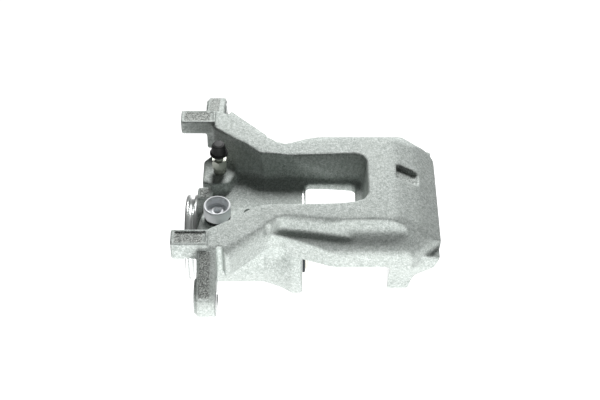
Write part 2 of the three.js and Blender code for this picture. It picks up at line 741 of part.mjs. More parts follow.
const spindleORing = () => {
  const middle = pocketFloor + 4.7;
  const profile = [];
  for (let k = 0; k < 8; k += 1) {
    const angle = (-k / 8) * 2 * Math.PI;
    profile.push([middle + 0.95 * Math.cos(angle), SPINDLE_RADIUS + 1.28 + 0.95 * Math.sin(angle)]);
  }
  return turned([...profile, [...profile[0]]], 24);
};

const ROLLER_COUNT = 12;
const ROLLER_RADIUS = 1;
const ROLLER_GAP = 0.15;
const ROLLER_INNER = SPINDLE_RADIUS + 2.9;
const ROLLER_OUTER = SPINDLE_FLANGE_RADIUS - 0.6;
const bearingMiddle = boreEnd + SEAT_GAP + 1 + 0.1 + ROLLER_RADIUS;
const washer = (x0) => ring(x0, x0 + 1, SPINDLE_RADIUS + 0.8, SPINDLE_FLANGE_RADIUS + 0.6, 32);

function bearingCage() {
  const half = 0.6;
  const outer = SPINDLE_FLANGE_RADIUS + 0.4;
  let cage = ring(bearingMiddle - half, bearingMiddle + half, SPINDLE_RADIUS + 1.4, outer, 36);
  for (let k = 0; k < ROLLER_COUNT; k += 1) {
    const pocket = box(
      [bearingMiddle - 2, -ROLLER_RADIUS - ROLLER_GAP, ROLLER_INNER - 0.2],
      [bearingMiddle + 2, ROLLER_RADIUS + ROLLER_GAP, ROLLER_OUTER + 0.2],
    );
    cage = cage.subtract(pocket.rotate([(360 * k) / ROLLER_COUNT, 0, 0]));
  }
  return cage;
}

const bearingRoller = (k) =>
  post(bearingMiddle, 0, ROLLER_INNER, ROLLER_OUTER, ROLLER_RADIUS, 8)
    .rotate([(360 * k) / ROLLER_COUNT, 0, 0]);

// ---------------------------------------------------------------- fittings on top

const BLEEDER_SEAT = bossTop - 0.4;

/** A regular hexagonal prism, upright, by its width across flats. */
function hexagon(x, y, z0, z1, flats, turn) {
  const corners = [];
  for (let k = 0; k < 6; k += 1) {
    const angle = turn + (k * Math.PI) / 3;
    const radius = flats / Math.sqrt(3);
    corners.push([x + radius * Math.cos(angle), y + radius * Math.sin(angle)]);
  }
  return upright(corners, z0, z1);
}

function bleederScrew() {
  const base = BLEEDER_SEAT;
  const hexLow = base + 4.6;
  const body = turnedUp([
    [24, 0],
    [24, 1.8],
    [26, 3.2],
    [base + 1.2, 3.2],
    [base + 1.8, 2.7],
    [hexLow + 0.4, 2.7],
    [hexLow + 0.4, 0],
  ], BLEEDER.x, BLEEDER.y, 24);
  const head = hexagon(BLEEDER.x, BLEEDER.y, hexLow, hexLow + 5.2, BLEEDER.flats, Math.PI / 6);
  const chamfer = turnedUp([
    [hexLow - 1, 0],
    [hexLow - 1, 3.6],
    [hexLow + 0.6, 4.7],
    [hexLow + 4.6, 4.7],
    [hexLow + 6.4, 3.3],
    [hexLow + 6.4, 0],
  ], BLEEDER.x, BLEEDER.y, 36);
  const nipple = turnedUp([
    [hexLow + 4.8, 0],
    [hexLow + 4.8, 2.7],
    [hexLow + 6, 2.3],
    [hexLow + 11, 2.3],
    [hexLow + 12, 2.8],
    [hexLow + 14.4, 2.2],
    [hexLow + 14.4, 0],
  ], BLEEDER.x, BLEEDER.y, 24);
  const bore = post(BLEEDER.x, BLEEDER.y, 28, hexLow + 20, 0.9, 12);
  const cross = rod(BLEEDER.x - 6, BLEEDER.x + 6, 0.7, BLEEDER.y, 29.5, 10);
  return body.add(head.intersect(chamfer)).add(nipple).subtract(bore).subtract(cross);
}

function bleederCap() {
  const low = BLEEDER_SEAT + 13.4;
  const bore = 2.8 + GAP;
  return turnedUp([
    [low, bore],
    [low, 4.9],
    [low + 0.5, 5.35],
    [low + 1.5, 5.35],
    [low + 2.2, 4.45],
    [low + 6.9, 3.75],
    [low + 7.7, 3.2],
    [low + 7.7, 2.7],
    [low + 8, 2.5],
    [low + 8, 0],
    [low + 6.2, 0],
    [low + 6.2, bore],
    [low, bore],
  ], BLEEDER.x, BLEEDER.y, 24);
}

const PORT_SEAT = bossTop + SEAT_GAP;

function portSeal() {
  const r = PORT.radius;
  return turnedUp([
    [PORT_SEAT, 5.6],
    [PORT_SEAT, r - 0.9],
    [PORT_SEAT + 0.6, r - 0.3],
    [PORT_SEAT + 1.7, r - 0.3],
    [PORT_SEAT + 2.2, r - 0.9],
    [PORT_SEAT + 2.2, 5.6],
    [PORT_SEAT, 5.6],
  ], PORT.x, PORT.y, 28);
}

function portPlug() {
  const base = PORT_SEAT + 2.2 + SEAT_GAP;
  const r = PORT.radius;
  const cup = turnedUp([
    [25, 2],
    [25, 4.2],
    [26, 4.8],
    [base + 0.4, 4.8],
    [base + 0.4, 5.4],
    [base, 5.6],
    [base, r - 0.4],
    [base + 0.5, r],
    [base + 7.4, r],
    [base + 7.9, r - 0.4],
    [base + 7.9, r - 1.1],
    [base + 7.5, r - 1.6],
    [base + 3.4, r - 2],
    [base + 3, 3.6],
    [base + 3.7, 3.2],
    [base + 3.7, 2.4],
    [base + 3, 2],
    [25, 2],
  ], PORT.x, PORT.y, 28);
  let ribs = null;
  for (let k = 0; k < 8; k += 1) {
    const nib = post(r - 0.1, 0, base + 0.6, base + 2.4, 0.45, 6).rotate([0, 0, 45 * k + 12]);
    ribs = ribs ? ribs.add(nib) : nib;
  }
  return cup.add(ribs.translate([PORT.x, PORT.y, 0]));
}

// ---------------------------------------------------------------- finishes

const finish = (name, colour, roughness, metalness) =>
  Object.assign(new THREE.MeshStandardMaterial({ color: colour, roughness, metalness }), { name });

const CAST_ZINC = finish("zinc_plated_iron", 0xaab3ae, 0.6, 0.75);
const PLATED_STEEL = finish("chromed_steel", 0xd6d6cc, 0.3, 0.9);
const BRIGHT_STEEL = finish("bright_steel", 0xb9bcbc, 0.35, 0.95);
const BEARING_STEEL = finish("bearing_steel", 0x9fa3a5, 0.25, 0.95);
const YELLOW_ZINC = finish("zinc_steel_fitting", 0xb3b6a2, 0.4, 0.85);
const RUBBER = finish("black_rubber", 0x1c1e1e, 0.75, 0);
const BOOT_RUBBER = finish("boot_rubber", 0x2c3638, 0.7, 0);
const WHITE_PLASTIC = finish("white_plastic", 0xdfe3e4, 0.5, 0);

// ---------------------------------------------------------------- assembly

const caliper = new THREE.Group();
caliper.name = "brake_caliper";

/** Adds one closed solid to the assembly as its own named mesh. */
function place(name, piece, material) {
  const { vertProperties, triVerts } = piece.getMesh();
  const geometry = new THREE.BufferGeometry();
  geometry.setAttribute("position", new THREE.Float32BufferAttribute(vertProperties, 3));
  geometry.setIndex(Array.from(triVerts));
  geometry.computeVertexNormals();
  const mesh = new THREE.Mesh(geometry, material);
  mesh.name = name;
  caliper.add(mesh);
}

place("caliper_housing", caliperHousing(), CAST_ZINC);
place("piston", piston(), PLATED_STEEL);
place("piston_seal", pistonSeal(), RUBBER);
place("dust_boot", dustBoot(), BOOT_RUBBER);
place("boot_ring", bootRing(), BRIGHT_STEEL);
place("spindle", spindle(), BRIGHT_STEEL);
place("spindle_nut", spindleNut(), BRIGHT_STEEL);
place("spindle_circlip", spindleCirclip(), BEARING_STEEL);
place("spindle_o_ring", spindleORing(), RUBBER);
place("bearing_washer_rear", washer(boreEnd + SEAT_GAP), BEARING_STEEL);
place("bearing_washer_front", washer(bearingMiddle + ROLLER_RADIUS + 0.1), BEARING_STEEL);
place("bearing_cage", bearingCage(), YELLOW_ZINC);
for (let k = 0; k < ROLLER_COUNT; k += 1) {
  place(`bearing_roller_${String(k + 1).padStart(2, "0")}`, bearingRoller(k), BEARING_STEEL);
}
place("bleeder_screw", bleederScrew(), YELLOW_ZINC);
place("bleeder_cap", bleederCap(), RUBBER);
place("port_seal", portSeal(), RUBBER);
place("port_plug", portPlug(), WHITE_PLASTIC);

// The assembly's origin is midway between the guide-pin holes, on the pads' outboard faces.
caliper.position.set(-PIN_FACE, 0, -PIN_HEIGHT);

export default caliper;
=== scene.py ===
import json
import math

import bpy
import numpy as np
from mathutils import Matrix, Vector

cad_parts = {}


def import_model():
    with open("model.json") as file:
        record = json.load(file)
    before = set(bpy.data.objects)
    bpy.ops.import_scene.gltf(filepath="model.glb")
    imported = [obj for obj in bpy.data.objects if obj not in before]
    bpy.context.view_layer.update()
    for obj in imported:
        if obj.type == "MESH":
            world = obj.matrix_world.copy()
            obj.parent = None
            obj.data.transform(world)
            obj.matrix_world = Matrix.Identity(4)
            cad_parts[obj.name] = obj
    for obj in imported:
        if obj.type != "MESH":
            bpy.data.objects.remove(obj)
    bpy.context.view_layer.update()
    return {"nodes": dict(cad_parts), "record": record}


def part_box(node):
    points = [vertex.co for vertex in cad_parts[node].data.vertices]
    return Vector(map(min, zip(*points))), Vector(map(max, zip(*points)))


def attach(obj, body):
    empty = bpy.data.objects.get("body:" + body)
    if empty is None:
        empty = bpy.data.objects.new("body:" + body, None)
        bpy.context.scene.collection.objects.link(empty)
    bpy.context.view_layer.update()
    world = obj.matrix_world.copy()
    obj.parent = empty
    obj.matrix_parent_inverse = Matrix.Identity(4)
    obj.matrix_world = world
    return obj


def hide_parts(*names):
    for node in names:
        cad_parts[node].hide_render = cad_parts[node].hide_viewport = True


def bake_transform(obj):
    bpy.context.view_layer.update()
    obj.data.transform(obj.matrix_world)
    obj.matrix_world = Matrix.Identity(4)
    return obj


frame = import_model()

import openvdb as vdb
from mathutils import Vector

MM = 0.001
NODES = frame["nodes"]


# ---------------------------------------------------------------- places, from the CAD

def node_box(name):
    """Lowest and highest corner of a CAD node in millimetres."""
    lo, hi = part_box(name)
    return np.array(lo) / MM, np.array(hi) / MM


HOUSING = node_box("caliper_housing")
PISTON = node_box("piston")
AXIS_Z = (PISTON[0][2] + PISTON[1][2]) / 2  # the piston's axis is at Y 0 and this height
PISTON_R = (PISTON[1][1] - PISTON[0][1]) / 2
NOSE_X = PISTON[1][0]
MOUTH_X = NOSE_X - 3.3  # open face of the barrel
BLEED = node_box("bleeder_screw")
CAP = node_box("bleeder_cap")
PLUG = node_box("port_plug")
SEAL = node_box("port_seal")

# Sizes of the casting that its looks need, in millimetres, as in the CAD.
BORE_CUT_R = 25.1
SPIGOT_R = 27.0
SPIGOT_END = MOUTH_X - 60.9
PIN_Y = 73.7
PIN_PAD_R = 9.8
PAD_FACES = (0.0, -12.9)  # X of the two machined faces of a guide-pin lug
BLOCK_TOP_Z = 20.25
FINGER_FACE_X = MOUTH_X + 49.0
LOCK_HOLE = (MOUTH_X - 30.6, -14.4)
POCKET_X = (MOUTH_X + 51.75, MOUTH_X + 69.25)
POCKET_Y = (-2.75, 13.75)
POCKET_CRISP = 0.25  # share of the pocket's edges that stays as sharp as in the CAD


def centre_xy(box):
    return (box[0][0] + box[1][0]) / 2, (box[0][1] + box[1][1]) / 2


# ---------------------------------------------------------------- the casting

VOXEL = 0.5


def arrays(obj):
    """Vertices in millimetres and triangles of an object's mesh."""
    mesh = obj.data
    mesh.calc_loop_triangles()
    points = np.empty(len(mesh.vertices) * 3, np.float32)
    mesh.vertices.foreach_get("co", points)
    world = np.array(obj.matrix_world, np.float32)
    points = points.reshape(-1, 3) @ world[:3, :3].T + world[:3, 3]
    faces = np.empty(len(mesh.loop_triangles) * 3, np.int32)
    mesh.loop_triangles.foreach_get("vertices", faces)
    return (points / MM).astype(np.float32), faces.reshape(-1, 3).astype(np.uint32)


def level_set(points, reach, triangles=None, quads=None):
    """A narrow-band distance grid, signed, in millimetres."""
    given = {"transform": vdb.createLinearTransform(voxelSize=VOXEL), "halfWidth": reach / VOXEL + 2}
    if triangles is not None:
        given["triangles"] = triangles
    if quads is not None:
        given["quads"] = quads
    return vdb.FloatGrid.createLevelSetFromPolygons(points, **given)


def offset(grid, distance, reach):
    """The grid's surface moved out by distance, as a fresh distance grid."""
    points, triangles, quads = grid.convertToPolygons(isovalue=distance, adaptivity=0.0)
    return level_set(points, reach, triangles, quads)


def dense(grid, low, shape):
    out = np.empty(shape, np.float32)
    grid.copyToArray(out, ijk=tuple(int(n) for n in low))
    return out


def smooth_step(value, start, end):
    t = np.clip((value - start) / (end - start), 0, 1)
    return t * t * (3 - 2 * t)


def machined_share(x, y, z):
    """1 where a tool has cut the casting, 0 where its skin is as cast."""
    r = np.sqrt(y * y + (z - AXIS_Z) ** 2)
    share = 1 - smooth_step(r, BORE_CUT_R - 0.5, BORE_CUT_R + 0.5)
    spigot = 1 - smooth_step(x, SPIGOT_END - 0.3, SPIGOT_END + 0.3)
    share = np.maximum(share, spigot * (1 - smooth_step(r, SPIGOT_R - 0.4, SPIGOT_R + 0.4)))
    lugs = smooth_step(np.abs(y), 55.0, 57.0) * (1 - smooth_step(x, 4.6, 5.4))
    slots = smooth_step(np.abs(y), 52.0, 53.0) * smooth_step(x, -3.2, -2.6) * (1 - smooth_step(x, 2.0, 3.0))
    blocks = smooth_step(z, BLOCK_TOP_Z - 0.25, BLOCK_TOP_Z + 0.25) + 0 * x
    share = np.maximum(share, np.maximum(np.maximum(lugs, slots), blocks))
    for box, radius in ((BLEED, 5.6), (PLUG, 9.2)):
        cx, cy = centre_xy(box)
        away = np.sqrt((x - cx) ** 2 + (y - cy) ** 2)
        share = np.maximum(share, (1 - smooth_step(away, radius - 0.6, radius)) * smooth_step(z, -4, -2))
    lock = np.sqrt((x - LOCK_HOLE[0]) ** 2 + (y - LOCK_HOLE[1]) ** 2)
    share = np.maximum(share, (1 - smooth_step(lock, 3.6, 4.4)) * smooth_step(z, -8, -6))
    fingers = (1 - smooth_step(np.abs(x - FINGER_FACE_X), 0.5, 1.2)) * (1 - smooth_step(z, -8, -6))
    pocket = smooth_step(z, 4, 6)
    for value, (start, end) in ((x, POCKET_X), (y, POCKET_Y)):
        pocket = pocket * smooth_step(value, start - 0.75, start + 0.75)
        pocket = pocket * (1 - smooth_step(value, end - 0.75, end + 0.75))
    return np.maximum(np.maximum(share, fingers), POCKET_CRISP * pocket)


def cast_body():
    """The housing with every as-cast edge and corner rounded, and every machined one left crisp."""
    points, triangles = arrays(NODES["caliper_housing"])
    low = np.floor(points.min(0) / VOXEL).astype(int) - 6
    high = np.ceil(points.max(0) / VOXEL).astype(int) + 7
    shape = tuple(high - low)
    crisp = level_set(points, 3.0, triangles)
    fillet, edge = 1.7, 1.0
    skin = offset(level_set(points, fillet, triangles), fillet, fillet)
    skin = offset(skin, -fillet, edge)
    skin = offset(skin, -edge, edge)
    points, triangles, quads = skin.convertToPolygons(isovalue=edge, adaptivity=0.0)
    skin = level_set(points, 3.0, triangles, quads)
    a, b = dense(crisp, low, shape), dense(skin, low, shape)
    axes = [((np.arange(n) + start) * VOXEL).astype(np.float32) for n, start in zip(shape, low)]
    x, y, z = axes[0][:, None, None], axes[1][None, :, None], axes[2][None, None, :]
    share = np.broadcast_to(machined_share(x, y, z), shape).astype(np.float32)
    mixed = np.ascontiguousarray(b + (a - b) * share)
    grid = vdb.FloatGrid(3.0)
    grid.transform = vdb.createLinearTransform(voxelSize=VOXEL)
    grid.gridClass = vdb.GridClass.LEVEL_SET
    grid.copyFromArray(mixed, ijk=tuple(int(n) for n in low), tolerance=0.0)
    return grid.convertToPolygons(isovalue=0.0, adaptivity=0.015)


def mesh_object(name, points, faces, material, smooth=True):
    mesh = bpy.data.meshes.new(name)
    mesh.from_pydata((np.asarray(points, float) * MM).tolist(), [], faces)
    mesh.validate()
    mesh.update()
    mesh.polygons.foreach_set("use_smooth", [smooth] * len(mesh.polygons))
    mesh.materials.append(material)
    obj = bpy.data.objects.new(name, mesh)
    bpy.context.scene.collection.objects.link(obj)
    return obj


# ---------------------------------------------------------------- materials

class Nodes:
    """Short calls for building one material's node tree."""

    def __init__(self, name):
        self.material = bpy.data.materials.new(name)
        self.material.use_nodes = True
        self.tree = self.material.node_tree
        self.shader = self.tree.nodes["Principled BSDF"]
        self.position = self.add("ShaderNodeTexCoord").outputs["Object"]

    def add(self, kind, **settings):
        node = self.tree.nodes.new(kind)
        for key, value in settings.items():
            if key in node.inputs:
                node.inputs[key].default_value = value
            else:
                setattr(node, key, value)
        return node

    def link(self, out, into):
        self.tree.links.new(out, into)

    def noise(self, size_mm, detail=2.0, rough=0.5, stretch=None):
        """Noise whose features are about size_mm across."""
        node = self.add("ShaderNodeTexNoise", Detail=detail, Roughness=rough, Scale=1.0 / (size_mm * MM))
        where = self.position
        if stretch:
            mapping = self.add("ShaderNodeMapping")
            mapping.inputs["Scale"].default_value = stretch
            self.link(where, mapping.inputs["Vector"])
            where = mapping.outputs["Vector"]
        self.link(where, node.inputs["Vector"])
        return node.outputs["Fac"]

    def cells(self, size_mm):
        node = self.add("ShaderNodeTexVoronoi", Scale=1.0 / (size_mm * MM))
        self.link(self.position, node.inputs["Vector"])
        return node.outputs["Distance"]

    def ramp(self, value, stops):
        node = self.add("ShaderNodeValToRGB")
        band = node.color_ramp
        while len(band.elements) < len(stops):
            band.elements.new(0.5)
        for element, (at, colour) in zip(band.elements, stops):
            element.position = at
            element.color = (*colour, 1)
        self.link(value, node.inputs["Fac"])
        return node.outputs["Color"]

    def scale_range(self, value, low, high, from_low=0.0, from_high=1.0):
        node = self.add("ShaderNodeMapRange")
        limits = {"From Min": from_low, "From Max": from_high, "To Min": low, "To Max": high}
        for key, number in limits.items():
            node.inputs[key].default_value = number
        self.link(value, node.inputs["Value"])
        return node.outputs["Result"]

    def maths(self, kind, a, b):
        node = self.add("ShaderNodeMath", operation=kind)
        for socket, value in zip(node.inputs, (a, b)):
            if isinstance(value, (int, float)):
                socket.default_value = value
            else:
                self.link(value, socket)
        return node.outputs[0]

    def mix(self, share, a, b, blend="MIX"):
        node = self.add("ShaderNodeMix", data_type="RGBA", blend_type=blend)
        sockets = [s for s in node.inputs if s.type == "RGBA"]
        if isinstance(share, (int, float)):
            node.inputs["Factor"].default_value = share
        else:
            self.link(share, node.inputs["Factor"])
        for socket, value in zip(sockets, (a, b)):
            if isinstance(value, tuple):
                socket.default_value = (*value, 1)
            else:
                self.link(value, socket)
        return next(s for s in node.outputs if s.type == "RGBA")

    def bump(self, height, depth_mm, strength=1.0, under=None):
        node = self.add("ShaderNodeBump", Strength=strength, Distance=depth_mm * MM)
        self.link(height, node.inputs["Height"])
        if under is not None:
            self.link(under, node.inputs["Normal"])
        return node.outputs["Normal"]

    def axes(self):
        node = self.add("ShaderNodeSeparateXYZ")
        self.link(self.position, node.inputs[0])
        return node.outputs[0], node.outputs[1], node.outputs[2]

    def facing_up(self):
        node = self.add("ShaderNodeSeparateXYZ")
        self.link(self.add("ShaderNodeTexCoord").outputs["Normal"], node.inputs[0])
        return node.outputs[2]

    def within(self, value, low, high, soft=0.35):
        """1 where value lies between low and high millimetres, fading over soft."""
        up = self.scale_range(value, 0, 1, (low - soft) * MM, (low + soft) * MM)
        down = self.scale_range(value, 1, 0, (high - soft) * MM, (high + soft) * MM)
        return self.maths("MULTIPLY", up, down)

    def all_of(self, first, *others):
        for other in others:
            first = self.maths("MULTIPLY", first, other)
        return first

    def any_of(self, first, *others):
        for other in others:
            first = self.maths("MAXIMUM", first, other)
        return first

    def distance(self, a, b):
        squares = [self.maths("MULTIPLY", v, v) for v in (a, b)]
        return self.maths("SQRT", self.maths("ADD", *squares), 0)

    def finish(self, colour=None, roughness=None, normal=None, **plain):
        for name, value in (("Base Color", colour), ("Roughness", roughness), ("Normal", normal)):
            if value is None:
                continue
            if isinstance(value, (int, float)):
                self.shader.inputs[name].default_value = value
            elif isinstance(value, tuple):
                self.shader.inputs[name].default_value = (*value, 1)
            else:
                self.link(value, self.shader.inputs[name])
        for name, value in plain.items():
            self.shader.inputs[name.replace("_", " ")].default_value = value
        return self.material


def dark_grain_and_pocket_shade(n, x, y, z):
    """Darker grain on the tops of the lugs, the upward faces of the webs and the actuator post, and painted
    shade in the pocket.
    """
    side = n.maths("ABSOLUTE", y, 0)
    blocks = n.all_of(
        n.within(side, 45.6, 53.4), n.within(x, MOUTH_X - 70.1, MOUTH_X - 54.8), n.within(z, 20.1, 25)
    )
    webs = n.all_of(
        n.within(side, 57.5, 82), n.within(x, MOUTH_X - 55.9, MOUTH_X - 50.1),
        n.scale_range(n.facing_up(), 0, 1, 0.3, 0.5),
    )
    post = n.all_of(
        n.within(side, -1, 3.7), n.within(x, MOUTH_X - 59.0, MOUTH_X - 53.5), n.within(z, 5.8, 8)
    )
    pocket = n.all_of(
        n.within(x, MOUTH_X + 53.4, MOUTH_X + 66.2, 0.6), n.within(y, 0, 11.6, 0.6), n.within(z, 4, 18)
    )
    # The pocket's share, at 0.45, is painted shade: the pocket floor is darkened as if shadowed by its far
    # wall.
    return n.any_of(blocks, webs, post, n.maths("MULTIPLY", pocket, 0.45))


def machined(n, x, y, z):
    """Where a tool has left bright metal: spigot, bore, pin pads, mouth and finger faces."""
    off_axis = n.distance(y, n.maths("SUBTRACT", z, AXIS_Z * MM))
    off_pin = n.distance(n.maths("SUBTRACT", n.maths("ABSOLUTE", y, 0), PIN_Y * MM), z)
    spigot = n.all_of(n.within(x, MOUTH_X - 80, MOUTH_X - 61.5), n.within(off_axis, -1, 28))
    bore = n.within(off_axis, -1, 19.6)
    mouth = n.all_of(n.within(x, MOUTH_X - 0.2, MOUTH_X + 1, 0.15), n.within(off_axis, -1, 34))
    fingers = n.all_of(n.within(x, FINGER_FACE_X - 1, FINGER_FACE_X + 0.2, 0.15), n.within(z, -60, -9))
    outboard, inboard = PAD_FACES
    ends = n.any_of(
        n.within(x, outboard - 1, outboard + 1, 0.15), n.within(x, inboard - 0.6, inboard + 0.6, 0.15)
    )
    pads = n.all_of(ends, n.within(off_pin, -1, PIN_PAD_R))
    return n.any_of(spigot, bore, mouth, fingers, pads)


def cast_zinc():
    """Shot-blasted grey iron under zinc: a fine sparkling grain, darker in the pits."""
    n = Nodes("cast_zinc")
    x, y, z = n.axes()
    fine, coarse, cloud = n.noise(0.75, 3, 0.65), n.noise(1.7, 2, 0.5), n.noise(26, 2, 0.5)
    pits = n.cells(1.1)
    grain = n.maths("ADD", n.maths("MULTIPLY", fine, 0.7), n.maths("MULTIPLY", coarse, 0.3))
    tones = [(0.36, (0.27, 0.305, 0.285)), (0.5, (0.46, 0.50, 0.478)), (0.62, (0.66, 0.70, 0.68))]
    colour = n.ramp(grain, tones)
    colour = n.mix(n.scale_range(cloud, 0, 0.3, 0.35, 0.7), colour, (0.50, 0.54, 0.505))
    # This mask gives darker grain on the lug, web and post tops, and painted shade on the pocket floor. The
    # dark grain colour below is mixed in through it.
    grain_patch_and_shade = dark_grain_and_pocket_shade(n, x, y, z)
    dark_grain_tones = [(0.4, (0.10, 0.105, 0.10)), (0.52, (0.30, 0.32, 0.30)), (0.62, (0.62, 0.65, 0.62))]
    dark_grain_and_shade_colour = n.ramp(fine, dark_grain_tones)
    colour = n.mix(n.maths("MULTIPLY", grain_patch_and_shade, 0.85), colour, dark_grain_and_shade_colour)
    bright = machined(n, x, y, z)
    colour = n.mix(bright, colour, (0.78, 0.80, 0.79))
    rough = n.maths("SUBTRACT", n.scale_range(grain, 0.78, 0.6), n.maths("MULTIPLY", bright, 0.38))
    relief = n.maths("SUBTRACT", 1.0, n.maths("MULTIPLY", bright, 0.95))
    height = n.maths("ADD", n.maths("MULTIPLY", coarse, 0.55), n.maths("MULTIPLY", fine, 0.45))
    height = n.maths("ADD", height, n.maths("MULTIPLY", n.maths("MINIMUM", pits, 0.35), 0.35))
    deeper = n.maths("ADD", 1.0, n.maths("MULTIPLY", grain_patch_and_shade, 1.5))
    normal = n.bump(n.all_of(height, relief, deeper), 0.3, 0.9)
    metal = n.maths("ADD", 0.2, n.maths("MULTIPLY", bright, 0.6))
    n.link(metal, n.shader.inputs["Metallic"])
    return n.finish(colour, rough, normal)


def plain_metal(name, colour, rough, size=0.5, metallic=0.95, stretch=None, depth=0.01):
    n = Nodes(name)
    lines = n.noise(size, 3, 0.6, stretch)
    cloud = n.noise(9, 2, 0.5)
    dark = tuple(c * 0.8 for c in colour)
    shade = n.mix(n.scale_range(cloud, 0, 1, 0.3, 0.7), dark, colour)
    spread = n.scale_range(lines, rough * 0.75, rough * 1.3)
    return n.finish(shade, spread, n.bump(lines, depth, 0.6), Metallic=metallic)


def rubber(name, colour, rough=0.62):
    n = Nodes(name)
    fine, cloud = n.noise(0.35, 3, 0.6), n.noise(5, 2, 0.5)
    dusty = tuple(min(1, c * 1.8 + 0.012) for c in colour)
    shade = n.mix(n.scale_range(cloud, 0, 0.6, 0.35, 0.75), colour, dusty)
    return n.finish(shade, n.scale_range(fine, rough - 0.08, rough + 0.12), n.bump(fine, 0.03, 0.5))


def white_plastic():
    n = Nodes("white_plastic")
    fine, cloud = n.noise(0.4, 2, 0.5), n.noise(6, 2, 0.5)
    shade = n.mix(n.scale_range(cloud, 0, 1, 0.3, 0.7), (0.74, 0.77, 0.79), (0.86, 0.88, 0.89))
    return n.finish(
        shade, n.scale_range(fine, 0.32, 0.45), n.bump(fine, 0.012, 0.4),
        Subsurface_Weight=0.08, Subsurface_Radius=(0.004, 0.004, 0.004), Subsurface_Scale=0.3,
    )


CAST = cast_zinc()
CHROME = plain_metal("chromed_steel", (0.82, 0.79, 0.70), 0.3, 0.25, metallic=0.8, stretch=(1, 8, 8))
BRIGHT = plain_metal("bright_steel", (0.62, 0.64, 0.64), 0.3, 0.3, stretch=(1, 8, 8))
BEARING = plain_metal("bearing_steel", (0.55, 0.56, 0.57), 0.22, 0.3)
YELLOW = plain_metal("yellow_zinc", (0.70, 0.73, 0.64), 0.36, 0.4, metallic=0.45)
RUBBER = rubber("black_rubber", (0.008, 0.009, 0.009))
BOOT = rubber("boot_rubber", (0.012, 0.018, 0.02))
PLASTIC = white_plastic()

# ---------------------------------------------------------------- pieces

points, tris, quads = cast_body()
faces = [tuple(f) for f in tris.tolist()] + [tuple(f) for f in quads.tolist()]
casting = mesh_object("housing_casting", points, faces, CAST)
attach(casting, "housing")
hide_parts("caliper_housing")

BY_SLOT = {
    "chromed_steel": CHROME, "bright_steel": BRIGHT, "bearing_steel": BEARING, "zinc_steel_fitting": YELLOW,
    "black_rubber": RUBBER, "boot_rubber": BOOT, "white_plastic": PLASTIC, "zinc_plated_iron": CAST,
}
SLOT_OF = {entry["node"]: entry["material_slot"] for entry in frame["record"]["subparts"]}
BODY_OF = {node: body for body, nodes in frame["record"]["behaviour"]["bodies"].items() for node in nodes}


def stands_for(obj, node, moving=True):
    """Show obj in place of one CAD node: hide the node and, when moving, attach obj to the node's body."""
    if moving:
        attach(obj, BODY_OF[node])
    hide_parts(node)


def eased(profile, radius):
    """A closed profile with each corner off the axis replaced by a short arc."""
    out = []
    points = [np.array(p, float) for p in profile]
    for i, here in enumerate(points):
        before, after = points[i - 1] - here, points[(i + 1) % len(points)] - here
        back = min(radius, 0.45 * np.linalg.norm(before), 0.45 * np.linalg.norm(after))
        if here[1] < 1e-6 or back < 0.01:
            out.append(here)
            continue
        start = here + before / np.linalg.norm(before) * back
        end = here + after / np.linalg.norm(after) * back
        for t in (0, 0.33, 0.67, 1):
            out.append((1 - t) ** 2 * start + 2 * t * (1 - t) * here + t * t * end)
    return out


def lathe(name, profile, centre, along, material, segments=72, swell=None):
    """A turned piece: profile points are [distance along the axis, radius] in millimetres."""
    points, rings = [], []
    for at, radius in profile:
        if radius < 1e-6:
            rings.append([len(points)] * segments)
            points.append((at, 0.0, 0.0))
            continue
        rings.append(list(range(len(points), len(points) + segments)))
        for k in range(segments):
            angle = 2 * math.pi * k / segments
            wide = radius + (swell(at, radius, angle) if swell else 0.0)
            points.append((at, wide * math.cos(angle), wide * math.sin(angle)))
    faces = []
    for low, high in zip(rings, rings[1:] + rings[:1]):
        for k in range(segments):
            corners = [low[k], low[(k + 1) % segments], high[(k + 1) % segments], high[k]]
            kept = [c for i, c in enumerate(corners) if c not in corners[:i]]
            if len(kept) > 2:
                faces.append(tuple(kept))
    fans = [(f[0], f[i], f[i + 1]) for f in faces for i in range(1, len(f) - 1)]
    volume = sum(np.dot(points[a], np.cross(points[b], points[c])) for a, b, c in fans)
    if volume < 0:
        faces = [tuple(reversed(f)) for f in faces]
    turned = [(a, b, c) if along == "x" else (b, c, a) for a, b, c in points]
    placed = [tuple(np.array(p) + np.array(centre)) for p in turned]
    obj = mesh_object(name, placed, faces, material)
    obj.data.set_sharp_from_angle(angle=math.radians(38))
    return obj


def dressed(node, bevel):
    """The CAD's own shape with its edges eased and its round faces shaded round."""
    points, faces = arrays(NODES[node])
    obj = mesh_object(f"{node}_piece", points, [tuple(f) for f in faces.tolist()], BY_SLOT[SLOT_OF[node]])
    obj.data.set_sharp_from_angle(angle=math.radians(38))
    easing = obj.modifiers.new("edges", "BEVEL")
    easing.width, easing.segments, easing.limit_method = bevel * MM, 2, "ANGLE"
    easing.angle_limit = math.radians(40)
    return obj


def bleed_cap():
    """The rubber cap: a rolled rim, a straight taper with fine draft rings and a flat top."""
    low, high = CAP[0][2], CAP[1][2]
    wide = (CAP[1][0] - CAP[0][0]) / 2
    x, y = centre_xy(CAP)
    outer = [
        (0.0, wide - 0.7), (0.5, wide - 0.05), (1.4, wide - 0.05), (1.9, wide - 0.5), (2.2, wide - 0.95),
        (3.6, wide - 1.1), (3.75, wide - 1.2), (3.9, wide - 1.12), (5.3, wide - 1.32), (5.45, wide - 1.42),
        (5.6, wide - 1.34), (6.9, wide - 1.6), (7.7, wide - 2.15), (7.7, wide - 2.65), (8.0, wide - 2.85),
        (8.0, 0),
    ]
    inner = [(6.2, 0), (6.2, 3.1), (0.0, 3.1)]
    profile = eased([(low + a * (high - low) / 8.0, r) for a, r in outer + inner], 0.28)
    return lathe("bleed_cap", profile, (x, y, 0), "z", RUBBER)


